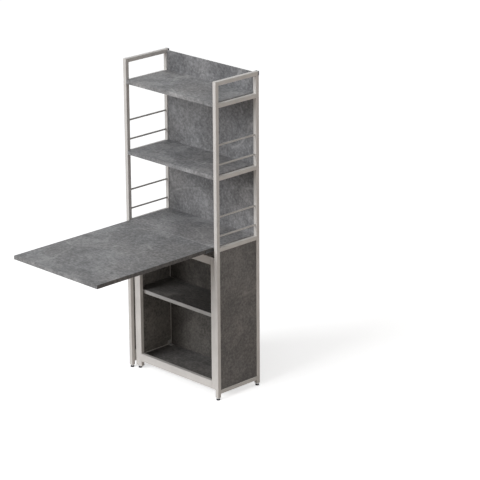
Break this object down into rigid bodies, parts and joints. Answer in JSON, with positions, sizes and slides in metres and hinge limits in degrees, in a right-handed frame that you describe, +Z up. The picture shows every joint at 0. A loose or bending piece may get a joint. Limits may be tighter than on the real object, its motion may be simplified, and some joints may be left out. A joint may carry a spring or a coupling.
{
  "type": "drop-leaf table with shelf",
  "caption": "Narrow metal-framed shelf unit with a hinged table leaf that drops over its cabinet and is propped level by a swing-out gate leg.",
  "frame": {"origin": "on the floor, under the middle of the bounding box with the leaf level", "axes": "+X to the right seen from the leaf's side, +Y from the leaf towards the shelf's back, +Z up"},
  "size_m": [0.6, 0.962, 1.5],
  "materials": {
    "powder_coat": "satin light warm grey powder coat",
    "laminate_board": "matt concrete-look laminate on particle board",
    "black_plastic": "black moulded plastic",
    "zinc_steel": "bright zinc plate",
    "black_steel": "black painted steel"
  },
  "bodies": {
    "shelf_frame": {"bottom_shelf": "laminate_board", "bottom_shelf_brackets": "zinc_steel", "gate_pivot_pins": "zinc_steel", "inner_shelf": "laminate_board", "inner_shelf_pins": "zinc_steel", "leaf_pivot_studs": "zinc_steel", "left_back_post": "powder_coat", "left_bottom_rail": "powder_coat", "left_front_post": "powder_coat", "left_guard_rods": "powder_coat", "left_middle_shelf_rail": "powder_coat", "left_side_panel": "laminate_board", "left_table_rail": "powder_coat", "left_top_rail": "powder_coat", "left_upper_shelf_rail": "powder_coat", "lower_back_panel": "laminate_board", "lower_gate_lug": "powder_coat", "middle_shelf": "laminate_board", "middle_shelf_tabs": "powder_coat", "post_foot_inserts": "black_plastic", "right_back_post": "powder_coat", "right_bottom_rail": "powder_coat", "right_front_post": "powder_coat", "right_guard_rods": "powder_coat", "right_middle_shelf_rail": "powder_coat", "right_side_panel": "laminate_board", "right_table_rail": "powder_coat", "right_top_rail": "powder_coat", "right_upper_shelf_rail": "powder_coat", "table_shelf": "laminate_board", "table_shelf_tabs": "powder_coat", "top_rail_end_plugs": "black_plastic", "top_shelf": "laminate_board", "top_shelf_tabs": "powder_coat", "upper_back_panel": "laminate_board", "upper_gate_bracket": "powder_coat"},
    "leaf": {"table_leaf": "laminate_board", "left_pivot_plate": "black_steel", "right_pivot_plate": "black_steel"},
    "gate": {"gate_stile": "powder_coat", "gate_leg": "powder_coat", "gate_upper_rail": "powder_coat", "gate_lower_rail": "powder_coat", "stile_end_plugs": "black_plastic", "gate_leg_cap": "black_plastic", "gate_foot_insert": "black_plastic"},
    "left_front_foot_body": {"left_front_foot": "black_plastic"},
    "right_front_foot_body": {"right_front_foot": "black_plastic"},
    "left_back_foot_body": {"left_back_foot": "black_plastic"},
    "right_back_foot_body": {"right_back_foot": "black_plastic"},
    "gate_foot_body": {"gate_foot": "black_plastic"}
  },
  "joints": [
    {"name": "leaf_hinge", "type": "hinge", "parent": "shelf_frame", "child": "leaf", "pos_m": [0, 0.223, 0.723], "axis": [-1, 0, 0], "range_deg": [-90, 0]},
    {"name": "gate_swing", "type": "hinge", "parent": "shelf_frame", "child": "gate", "pos_m": [0.2676, 0.241, 0.3], "axis": [0, 0, 1], "range_deg": [0, 45]},
    {"name": "left_front_foot_level", "type": "slide", "parent": "shelf_frame", "child": "left_front_foot_body", "axis": [0, 0, 1], "range_m": [-0.01, 0]},
    {"name": "right_front_foot_level", "type": "slide", "parent": "shelf_frame", "child": "right_front_foot_body", "axis": [0, 0, 1], "range_m": [-0.01, 0]},
    {"name": "left_back_foot_level", "type": "slide", "parent": "shelf_frame", "child": "left_back_foot_body", "axis": [0, 0, 1], "range_m": [-0.01, 0]},
    {"name": "right_back_foot_level", "type": "slide", "parent": "shelf_frame", "child": "right_back_foot_body", "axis": [0, 0, 1], "range_m": [-0.01, 0]},
    {"name": "gate_foot_level", "type": "slide", "parent": "gate", "child": "gate_foot_body", "axis": [0, 0, 1], "range_m": [-0.01, 0]}
  ]
}
